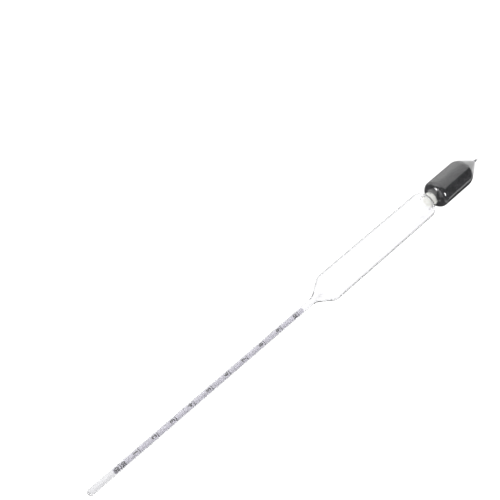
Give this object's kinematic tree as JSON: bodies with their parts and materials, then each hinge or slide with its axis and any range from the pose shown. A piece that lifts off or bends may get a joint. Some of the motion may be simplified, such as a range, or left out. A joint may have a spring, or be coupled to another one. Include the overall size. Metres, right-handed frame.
{
  "type": "hydrometer",
  "caption": "Slender glass brewing hydrometer with a numbered paper scale in its stem, a clear float and a pointed ballast bulb; floats upright to read liquid density.",
  "frame": {"origin": "outermost point of the drawn glass tip under the ballast bulb, on the long axis", "axes": "+Z along the axis from the ballast tip to the stem's closed end, as the instrument floats; -Y is the side that the printed numerals face, and the lap of the rolled scale is at +Y"},
  "size_m": [0.0178, 0.0178, 0.33],
  "materials": {
    "clear_glass": "fire-polished clear glass",
    "printed_paper": "matt lavender-white paper with fine black print",
    "adhesive": "dull translucent dab of adhesive",
    "wadding": "packed cream fibre",
    "ballast_grit": "fine near-black grit"
  },
  "bodies": {
    "root": {"stem_tube": "clear_glass", "float_tube": "clear_glass", "neck_tube": "clear_glass", "ballast_bulb": "clear_glass", "drawn_tip": "clear_glass", "scale_paper": "printed_paper", "scale_adhesive": "adhesive", "neck_plug": "wadding", "ballast_fill": "ballast_grit"}
  },
  "joints": []
}
